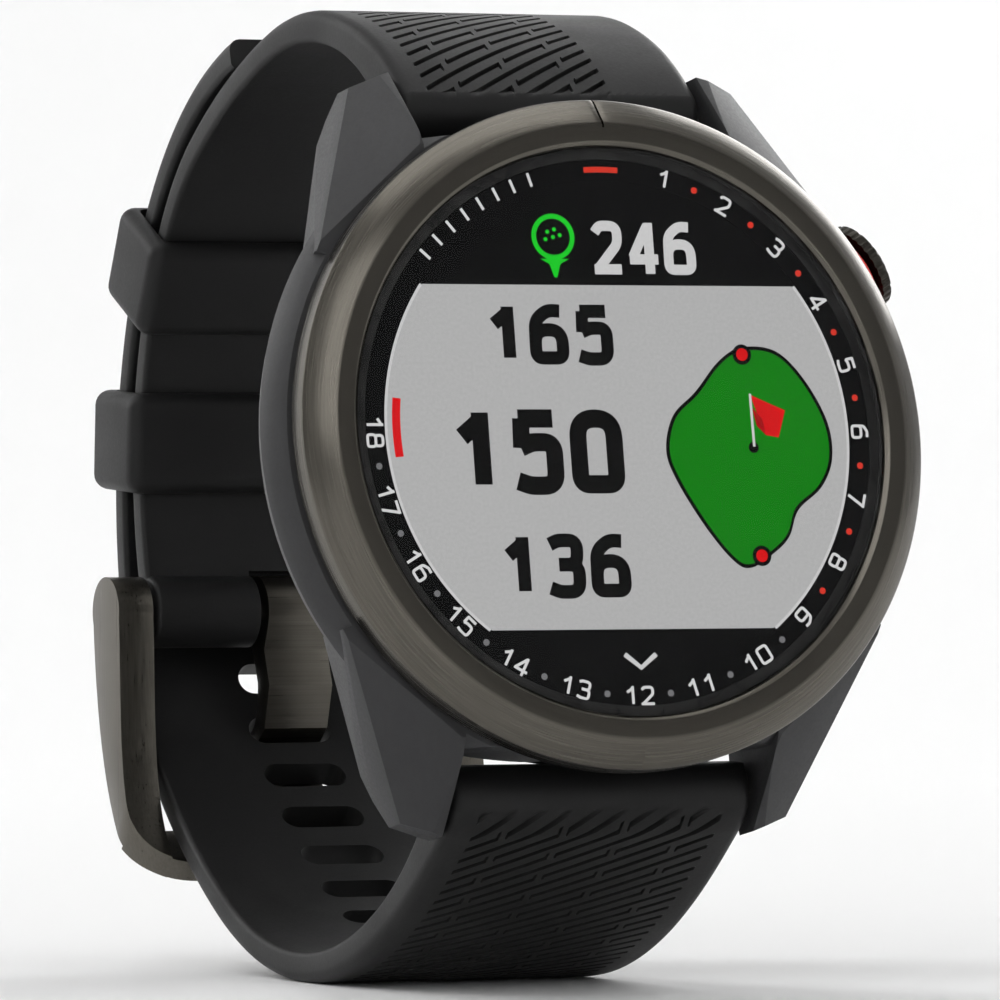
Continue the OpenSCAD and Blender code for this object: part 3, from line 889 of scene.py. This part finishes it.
def smooth_loop(points, steps=6):
    """A closed Catmull-Rom curve through the points."""
    count = len(points)
    loop = []
    for i in range(count):
        p0, p1, p2, p3 = (Vector(points[(i + k) % count]) for k in (-1, 0, 1, 2))
        for k in range(steps):
            t = k / steps
            loop.append(tuple(0.5 * ((2 * p1) + (p2 - p0) * t + (2 * p0 - 5 * p1 + 4 * p2 - p3) * t * t
                                     + (3 * p1 - p0 - 3 * p2 + p3) * t ** 3)))
    return loop


# ---- Pieces ----

class GOLFWATCH_OT_dial(bpy.types.Operator):
    """Display picture and the printed ring of hole numbers"""
    bl_idname = "golfwatch.dial"
    bl_label = "Dial and display"

    def execute(self, context):
        options = settings()
        # Every display and print colour here glows: painted light in place of the lamplight on the display
        # and the printed ring.
        black = lit("display_black", (0.0018, 0.0018, 0.002))
        grey = lit("display_grey", options.field_colour)
        light = lit("display_light", (0.56, 0.56, 0.56))
        white = lit("print_white", (0.62, 0.62, 0.62))
        dim = lit("print_grey", (0.16, 0.16, 0.165))
        red = lit("display_red", (0.62, 0.006, 0.008))
        dark_red = lit("display_dark_red", (0.33, 0.004, 0.006))
        print_red = lit("print_red", (0.6, 0.035, 0.02))
        green = lit("display_green", (0.004, 0.19, 0.004))
        bright = lit("display_bright_green", (0.01, 0.55, 0.02))

        base = outline_plate("display_panel_face", disc_points(0, 0, 16.2, 128), PANEL_DEPTH, 1.06)
        self.keep(base, black, "display_panel")
        field = outline_plate("display_field", chord_field(FIELD_R, FIELD_LOW, FIELD_TOP), FIELD_DEPTH)
        self.keep(field, grey)
        self.keep(self.rim(), light)
        ring = ribbon("hole_ring_print", disc_points(0, 0, (DISPLAY_R + RING_R) / 2, 192), RING_R - DISPLAY_R,
                      RING_DEPTH, True, 0.05)
        self.keep(ring, black, "hole_ring", slot="ring_print")

        big = []
        for text, x, z, height, width, weight in YARDAGES:
            big += numeral_pieces(text, height, width, weight * 0.45, weight, 0.62, TEXT_DEPTH,
                                  straight_at(x, z))
        self.keep(joined("yardage_numbers", big), black)
        top = numeral_pieces("246", 3.2, 2.1, 0.28, 0.62, 0.62, TEXT_DEPTH, straight_at(2.45, 11.1))
        top.append(ribbon("stroke", CHEVRON, 0.3, TEXT_DEPTH))
        self.keep(joined("header_number", top), light)
        self.keep(self.ball(), bright)

        edge = smooth_loop([self.grown(point, 0.17) for point in GREEN])
        self.keep(outline_plate("green_edge", edge, GREEN_EDGE_DEPTH), black)
        grass = smooth_loop([self.grown(point, -0.06) for point in GREEN])
        self.keep(outline_plate("green_shape", grass, GREEN_DEPTH), green)
        edges = [outline_plate("mark", disc_points(*mark, 0.62), MARK_EDGE_DEPTH) for mark in GREEN_MARKS]
        edges.append(outline_plate("mark", disc_points(*HOLE, 0.34, 20), MARK_EDGE_DEPTH))
        self.keep(joined("green_mark_edges", edges), black)
        marks = [outline_plate("mark", disc_points(*mark, 0.38), MARK_DEPTH) for mark in GREEN_MARKS]
        marks.append(outline_plate("mark", FLAG, MARK_DEPTH))
        marks.append(ribbon("mark", [on_dial(14.42, clock) for clock in range(264, 279)], 0.52, MARK_DEPTH))
        self.keep(joined("green_marks", marks), red)
        self.keep(outline_plate("flag_fold", FLAG_FOLD, FOLD_DEPTH), dark_red)
        self.keep(ribbon("flag_pole", FLAG_POLE, 0.16, POLE_DEPTH), light)

        self.keep(joined("hole_numbers", self.hole_numbers() + self.ticks()), white)
        spots = [(hole + 0.5) * HOLE_STEP for hole in range(1, HOLES)]
        bar = ribbon("stroke", [on_dial(RING_TEXT_R, clock) for clock in range(-4, 5)], 0.34, PRINT_DEPTH)
        reds = [self.dot(clock) for clock in spots if clock < INWARDS_FROM]
        self.keep(joined("ring_red_dots", [*reds, bar]), print_red)
        greys = [self.dot(clock) for clock in spots if clock > INWARDS_FROM]
        self.keep(joined("ring_grey_dots", greys), dim)
        glass = frame["nodes"]["lens"]
        glass.data.materials.clear()
        glass.data.materials.append(crystal("cover_glass"))
        return {"FINISHED"}

    def rim(self):
        """The thin lighter line down both round sides of the field."""
        low, high = acos(FIELD_TOP / FIELD_RIM_R), acos(FIELD_LOW / FIELD_RIM_R)
        turns = [low + (high - low) * k / 60 for k in range(61)]
        sides = [[(side * FIELD_RIM_R * sin(turn), FIELD_RIM_R * cos(turn)) for turn in turns]
                 for side in (1, -1)]
        return joined("display_rim", [ribbon("stroke", side, 0.17, RIM_DEPTH) for side in sides])

    def hole_numbers(self):
        strokes = []
        for hole in range(1, HOLES + 1):
            clock = hole * HOLE_STEP
            place = turned_at(RING_TEXT_R, clock, INWARDS_FROM < clock < INWARDS_TO)
            strokes += numeral_pieces(str(hole), 1.14, 0.88, 0.2, 0.17, 0.3, PRINT_DEPTH, place)
        return strokes

    def ticks(self):
        """A short row of ticks on the upper left of the ring."""
        return [ribbon("stroke", [on_dial(radius, -48 + mark * 4.4) for radius in (15.45, 16.3)], 0.17,
                       PRINT_DEPTH) for mark in range(8)]

    def dot(self, clock):
        return outline_plate("dot", disc_points(*on_dial(RING_TEXT_R, clock), 0.2, 20), PRINT_DEPTH)

    def grown(self, point, by):
        """A point moved away from the green's middle."""
        centre = Vector(GREEN_MIDDLE)
        away = Vector(point) - centre
        return tuple(centre + away * (1 + by / away.length))

    def ball(self):
        """A golf ball on a tee, in outline."""
        x, z = BALL
        ring = ribbon("stroke", disc_points(x, z, 1.25, 40), 0.3, TEXT_DEPTH, True)
        dimples = [outline_plate("dot", disc_points(x + dx, z + dz, 0.13, 12), TEXT_DEPTH)
                   for dx, dz in BALL_DIMPLES]
        return joined("ball_icon", [ring, outline_plate("tee", TEE, TEXT_DEPTH), *dimples])

    def keep(self, piece, material, *nodes, slot="display"):
        settle(piece, WATCH)
        finish(piece, "case", material, *nodes, slot=slot)


# The bezel's section, as (radius, depth): inner chamfer, polished flat, brushed slope, side and seat.
BEZEL_INNER_R = 17.45
BEZEL_FLAT_R = 18.42
BEZEL_OUTLINE = ((17.15, 0.75), (17.15, -0.38), (BEZEL_INNER_R, -0.6), (BEZEL_FLAT_R, -0.6), (18.62, -0.5),
                 (20.05, 0.58), (20.18, 0.8), (20.18, 2.35), (20.0, 2.55), (18.6, 2.55), (18.6, 1.4),
                 (16.35, 1.4), (16.35, 0.75))


class GOLFWATCH_OT_case(bpy.types.Operator):
    """Polymer case with its lugs, and the metal bezel"""
    bl_idname = "golfwatch.case"
    bl_label = "Case and bezel"

    def execute(self, context):
        options = settings()
        case = softened("case_body", "case_shell", 0.13, 3)
        finish(case, "case", polymer("case_polymer", options.case_colour), "case_body", slot="case_polymer")
        metal = brushed_ring("bezel_metal", options.metal_colour)
        bezel = lathe("bezel_ring", BEZEL_OUTLINE)
        bpy.ops.mesh.primitive_cube_add(size=1, location=(0, 0.06, 19.25), scale=(0.13, 0.5, 2.4),
                                        rotation=(radians(-36.5), 0, 0))
        line = settle(named("index_line"))
        cut(bezel, line)
        modify(bezel, "BEVEL", width=0.05, segments=2, limit_method="ANGLE", angle_limit=radians(24))
        smooth(bezel, 26)
        settle(bezel, WATCH)
        finish(bezel, "case", metal, "bezel", slot="bezel_metal")
        return {"FINISHED"}


class GOLFWATCH_OT_strap(bpy.types.Operator):
    """Both halves of the grooved silicone strap"""
    bl_idname = "golfwatch.strap"
    bl_label = "Strap"

    def execute(self, context):
        rubber = silicone("strap_silicone", settings().strap_colour)
        slope = settings().groove_slope
        upper = Strap(UPPER_START, UPPER_ARCS, 1, -slope, (-FIELD_HALF, UPPER_FIELD_END))
        skin = upper.built("strap_upper_skin")
        bar = along(UPPER_START, UPPER_ARCS, upper.length)
        knuckle = self.rod("bar_knuckle", bar, KNUCKLE_R, STRAP_W)
        modify(knuckle, "BEVEL", width=0.35, segments=4, limit_method="ANGLE")
        modify(skin, "BOOLEAN", operation="UNION", object=knuckle, solver="EXACT")
        bpy.data.objects.remove(knuckle)
        cut(skin, self.rod("tang_notch", bar, HUB_R + 0.35, 2 * NOTCH_HALF),
            self.rod("bar_bore", bar, BAR_BORE_R, 2 * STRAP_W))
        smooth(skin, 50)
        settle(skin, WATCH)
        finish(skin, "buckle_strap", rubber, "strap_upper", slot="silicone")

        lower = Strap(LOWER_START, LOWER_ARCS, -1, slope, (-FIELD_HALF, LOWER_FIELD_END))
        skin = lower.built("strap_lower_skin")
        slots = [self.slot_cutter(TANG_SLOT + k * SLOT_PITCH) for k in SLOTS]
        cut(skin, joined("slots", slots))
        smooth(skin, 50)
        settle(skin, WATCH)
        skin.data.materials.clear()
        skin.data.materials.append(rubber)
        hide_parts("strap_lower")
        start, end = (tuple(WATCH @ Vector(place)) for place in LOWER_BENDS_BETWEEN)
        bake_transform(skin)
        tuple(start)
        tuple(end)
        return {"FINISHED"}

    def rod(self, name, centre, radius, length):
        """A rod across the strap, centred at a (depth, height, heading) of its route."""
        fresh()
        bpy.ops.mesh.primitive_cylinder_add(vertices=64, radius=radius, depth=length,
                                            location=(0, centre[0], centre[1]), rotation=(0, pi / 2, 0))
        return settle(named(name))

    def slot_cutter(self, distance):
        """A slot's solid, its long way across the strap, with round ends."""
        fresh()
        bpy.ops.mesh.primitive_cylinder_add(vertices=32, radius=SLOT_W / 2, depth=5)
        cutter = named("slot")
        reach = (SLOT_LEN - SLOT_W) / 2
        place_points(cutter, [(v.co.x + (reach if v.co.x > 0 else -reach), v.co.y, v.co.z)
                              for v in cutter.data.vertices])
        depth, height, heading = along(LOWER_START, LOWER_ARCS, distance)
        cutter.rotation_euler = (radians(heading), 0, 0)
        cutter.location = (0, depth, height)
        return settle(cutter)


class GOLFWATCH_OT_keepers(bpy.types.Operator):
    """The two soft keeper bands"""
    bl_idname = "golfwatch.keepers"
    bl_label = "Keepers"

    def execute(self, context):
        rubber = bpy.data.materials["strap_silicone"]
        for node, body, distance, stack in KEEPERS:
            depth, height, heading = along(UPPER_START, UPPER_ARCS, distance)
            place = Matrix.Translation((0, depth, height)) @ Matrix.Rotation(radians(heading), 4, "X")
            band = self.block(node + "_band", KEEPER_W + 2 * KEEPER_WALL, KEEPER_LEN,
                              stack + 2 * KEEPER_WALL, 1.0)
            opening = self.block("opening", KEEPER_W, 2 * KEEPER_LEN, stack, 0.5)
            cut(band, opening)
            modify(band, "BEVEL", width=0.16, segments=3, limit_method="ANGLE", angle_limit=radians(60))
            smooth(band, 40)
            middle = Matrix.Translation((0, 0, stack / 2 - KEEPER_INNER))
            settle(band, WATCH @ place @ middle)
            finish(band, body, rubber, node, slot="silicone")
        return {"FINISHED"}

    def block(self, name, width, length, height, radius):
        """A block whose four long edges are rounded."""
        fresh()
        bpy.ops.mesh.primitive_cube_add(size=1)
        block = named(name)
        block.scale = (width, length, height)
        settle(block)
        for edge in block.data.edges:
            low, high = (block.data.vertices[v].co for v in edge.vertices)
            edge.select = abs(low.y - high.y) > length / 2
        only(block)
        bpy.ops.object.mode_set(mode="EDIT")
        bpy.ops.mesh.select_mode(type="EDGE")
        bpy.ops.mesh.bevel(offset=radius, segments=6)
        bpy.ops.mesh.select_mode(type="VERT")
        bpy.ops.object.mode_set(mode="OBJECT")
        return block


class GOLFWATCH_OT_buckle(bpy.types.Operator):
    """Buckle frame and tang"""
    bl_idname = "golfwatch.buckle"
    bl_label = "Buckle"

    def execute(self, context):
        colour = settings().metal_colour
        along_side = brushed("buckle_metal", colour, (0, 0, 1))
        across = brushed("tang_metal", colour, (1, 0, 0))
        frame_piece = softened("buckle_frame", "buckle_frame_metal", 0.55, 3, 50)
        finish(frame_piece, "buckle", along_side, "buckle_frame", slot="buckle_metal")
        tang = softened("buckle_tang", "buckle_tang_metal", 0.16, 3, 35)
        finish(tang, "tang", across, "buckle_tang", slot="buckle_metal")
        return {"FINISHED"}


class GOLFWATCH_OT_button(bpy.types.Operator):
    """Side button with its fluted cap and red collar"""
    bl_idname = "golfwatch.button"
    bl_label = "Button"

    def execute(self, context):
        cap = softened("button_cap", "button_cap_metal", 0.06, 2, 40)
        dark = brushed("button_metal", tone(settings().metal_colour, 0.35), (0, 1, 0))
        finish(cap, "button", dark, "button_cap", slot="button_metal")
        collar = softened("button_bushing", "button_collar", 0.06, 2, 40)
        finish(collar, "case", plain("red_anodised", (0.85, 0.03, 0.022), 0.4, 0.0, coat=0.3),
               "button_bushing", slot="red_anodised")
        return {"FINISHED"}


class GOLFWATCH_OT_back(bpy.types.Operator):
    """Back cover"""
    bl_idname = "golfwatch.back"
    bl_label = "Back"

    def execute(self, context):
        cover = softened("back_cover", "back_cover_plate", 0.09, 3)
        finish(cover, "case", polymer("back_polymer", tone(settings().case_colour, 0.75), 0.4), "back_cover",
               slot="back_polymer")
        return {"FINISHED"}


class GOLFWATCH_OT_works(bpy.types.Operator):
    """Finishes of the parts inside the case, the spring bars and the seals"""
    bl_idname = "golfwatch.works"
    bl_label = "Works and fasteners"

    def execute(self, context):
        steel = brushed("satin_steel", (0.5, 0.49, 0.47), (1, 0, 0), (0.22, 0.36))
        seal = plain("seal_rubber", (0.012, 0.012, 0.012), 0.62, 0.0, 2600, 0.00001)
        black = plain("carrier_plastic", (0.02, 0.02, 0.021), 0.45)
        tin = plain("tin_plate", (0.62, 0.63, 0.64), 0.3, 1.0)
        finishes = {
            "bezel_gasket": seal, "lens_gasket": seal, "back_gasket": seal, "button_oring": seal,
            "backlight_guide": plain("light_guide", (0.72, 0.73, 0.68), 0.25, coat=0.4),
            "display_flex": plain("flex_film", (0.42, 0.17, 0.03), 0.3, coat=0.5),
            "inner_frame": black, "tact_switch": black, "contact_block": black,
            "battery": plain("cell_foil", (0.46, 0.5, 0.56), 0.32, 0.8, 900, 0.00003),
            "main_board": circuit("board"),
            "shield_can": tin, "vibration_motor": tin,
            "gps_antenna": plain("antenna_brass", (0.72, 0.5, 0.2), 0.3, 1.0),
            "switch_plunger": plain("plunger_plastic", (0.62, 0.57, 0.46), 0.4),
            "charge_contacts": plain("contact_gold", (0.82, 0.58, 0.22), 0.22, 1.0),
        }
        steels = ["back_screws", "button_stem", "button_clip", "button_spring", "buckle_bar"]
        steels += [side + "_bar_" + part for side in ("upper", "lower")
                   for part in ("tube", "fixed_tip", "lever", "spring")]
        finishes.update({node: steel for node in steels})
        for node, material in finishes.items():
            piece = frame["nodes"][node]
            piece.data.materials.clear()
            piece.data.materials.append(material)
        return {"FINISHED"}


# Floor and backdrop, in metres.
FLOOR_W = 5
FLOOR_DEPTH = 2.4
BACKDROP_H = 2.2
SWEEP_R = 0.9
# Soft lights: (name, place, size, power, aim), in metres and watts; two of them are aimed at the backdrop.
ON_WATCH = (0, 0, 0.03)
ON_BACKDROP = (0, 1.1, 0.3)
LIGHTS = (
    ("key_left", (-0.55, -0.55, 0.55), (0.5, 0.7), 1.6, ON_WATCH),
    ("fill_right", (0.75, -0.45, 0.3), (0.35, 0.7), 0.8, ON_WATCH),
    ("top", (0.0, 0.15, 0.8), (0.7, 0.5), 1.5, ON_WATCH),
    ("sweep_left", (-1.0, 1.0, 0.7), (0.8, 0.8), 11.0, ON_BACKDROP),
    ("sweep_right", (1.0, 1.0, 0.7), (0.8, 0.8), 11.0, ON_BACKDROP),
)
WORLD_STRENGTH = 0.07
# The camera's place from the middle of the dial, in mm, its turns in degrees and its lens in mm.
CAMERA_FROM_DIAL = (-243.24, -523.35, -0.44)
CAMERA_TILT = 89.637
CAMERA_PAN = -24.213
CAMERA_LENS = 350.5


class GOLFWATCH_OT_stage(bpy.types.Operator):
    """Pale floor with a sweep, soft lights and the camera"""
    bl_idname = "golfwatch.stage"
    bl_label = "Stage"

    def execute(self, context):
        self.floor()
        self.lights()
        fresh()
        bpy.ops.object.camera_add(location=DIAL + Vector(CAMERA_FROM_DIAL) * MM,
                                  rotation=(radians(CAMERA_TILT), 0, radians(CAMERA_PAN)))
        camera = bpy.context.object
        camera.name = "camera"
        camera.data.lens = CAMERA_LENS
        camera.data.clip_start = 0.05
        context.scene.camera = camera
        context.scene.view_settings.view_transform = "Standard"
        return {"FINISHED"}

    def floor(self):
        """A floor that sweeps up behind the watch."""
        fresh()
        bpy.ops.mesh.primitive_plane_add(size=1, location=(0, 0, 0), enter_editmode=True)
        bpy.ops.mesh.select_all(action="SELECT")
        bpy.ops.transform.resize(value=(FLOOR_W, FLOOR_DEPTH, 1), center_override=(0, 0, 0))
        bpy.ops.object.mode_set(mode="OBJECT")
        sweep = named("floor_sweep")
        for edge in sweep.data.edges:
            edge.select = all(sweep.data.vertices[v].co.y > 0 for v in edge.vertices)
        only(sweep)
        bpy.ops.object.mode_set(mode="EDIT")
        bpy.ops.mesh.extrude_region_move(TRANSFORM_OT_translate={"value": (0, 0, BACKDROP_H)})
        bpy.ops.object.mode_set(mode="OBJECT")
        modify(sweep, "BEVEL", width=SWEEP_R, segments=24, limit_method="ANGLE", angle_limit=radians(60))
        smooth(sweep, 60)
        sweep.data.materials.append(studio("paper_sweep", settings().floor_colour))

    def lights(self):
        """The even light all round and the soft lamps."""
        world = bpy.data.worlds.new("studio")
        world.use_nodes = True
        world.node_tree.nodes["Background"].inputs[0].default_value = (1, 1, 1, 1)
        world.node_tree.nodes["Background"].inputs[1].default_value = WORLD_STRENGTH
        bpy.context.scene.world = world
        for name, place, size, power, aim in LIGHTS:
            fresh()
            bpy.ops.object.light_add(type="AREA", location=place)
            lamp = bpy.context.object
            lamp.name = name
            lamp.data.shape = "RECTANGLE"
            lamp.data.size, lamp.data.size_y = size
            lamp.data.energy = power
            lamp.rotation_euler = (Vector(aim) - lamp.location).to_track_quat("-Z", "Y").to_euler()


class GOLFWATCH_PT_panel(bpy.types.Panel):
    """Lists the watch's pieces and its settings"""
    bl_idname = "GOLFWATCH_PT_panel"
    bl_label = "Golf Watch"
    bl_space_type = "VIEW_3D"
    bl_region_type = "UI"
    bl_category = "Golf Watch"

    def draw(self, context):
        for name in WatchSettings.__annotations__:
            self.layout.prop(context.scene.golf_watch, name)
        for operator in OPERATORS:
            self.layout.operator(operator.bl_idname)


OPERATORS = (GOLFWATCH_OT_case, GOLFWATCH_OT_dial, GOLFWATCH_OT_strap, GOLFWATCH_OT_keepers,
             GOLFWATCH_OT_buckle, GOLFWATCH_OT_button, GOLFWATCH_OT_back, GOLFWATCH_OT_works,
             GOLFWATCH_OT_stage)
CLASSES = (WatchSettings, *OPERATORS, GOLFWATCH_PT_panel)


def register():
    for one in CLASSES:
        bpy.utils.register_class(one)
    bpy.types.Scene.golf_watch = bpy.props.PointerProperty(type=WatchSettings)


def unregister():
    del bpy.types.Scene.golf_watch
    for one in reversed(CLASSES):
        bpy.utils.unregister_class(one)


def main():
    register()
    bpy.ops.golfwatch.case()
    bpy.ops.golfwatch.dial()
    bpy.ops.golfwatch.strap()
    bpy.ops.golfwatch.keepers()
    bpy.ops.golfwatch.buckle()
    bpy.ops.golfwatch.button()
    bpy.ops.golfwatch.back()
    bpy.ops.golfwatch.works()
    bpy.ops.golfwatch.stage()


if __name__ == "__main__":
    main()
